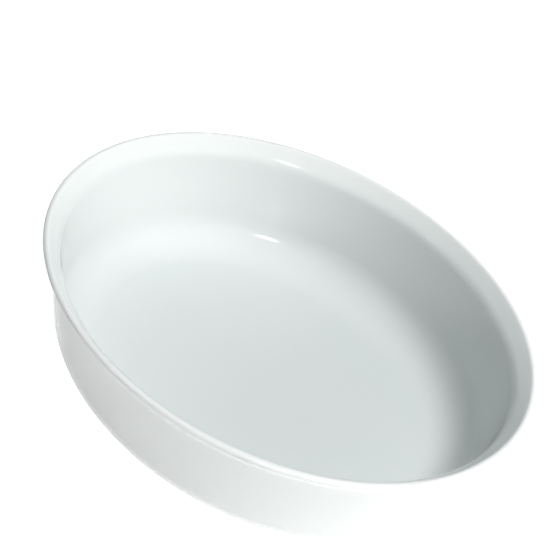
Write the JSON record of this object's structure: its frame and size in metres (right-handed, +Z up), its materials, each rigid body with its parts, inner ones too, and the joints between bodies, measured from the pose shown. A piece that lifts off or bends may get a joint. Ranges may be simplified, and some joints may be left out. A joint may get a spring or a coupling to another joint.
{
  "type": "gratin dish",
  "caption": "Deep oval gratin dish in glazed white porcelain, with a softly flared lip, a wide curved cove, a flat floor and a bare foot ring.",
  "frame": {"origin": "centre of the plane that the foot ring stands on", "axes": "+Z up out of the dish, +X along the oval's long axis"},
  "size_m": [0.28, 0.23, 0.08],
  "materials": {
    "biscuit_porcelain": "matte",
    "white_glaze": "gloss"
  },
  "bodies": {
    "root": {"porcelain_body": "biscuit_porcelain", "dish_glaze": "white_glaze", "base_glaze": "white_glaze"}
  },
  "joints": []
}
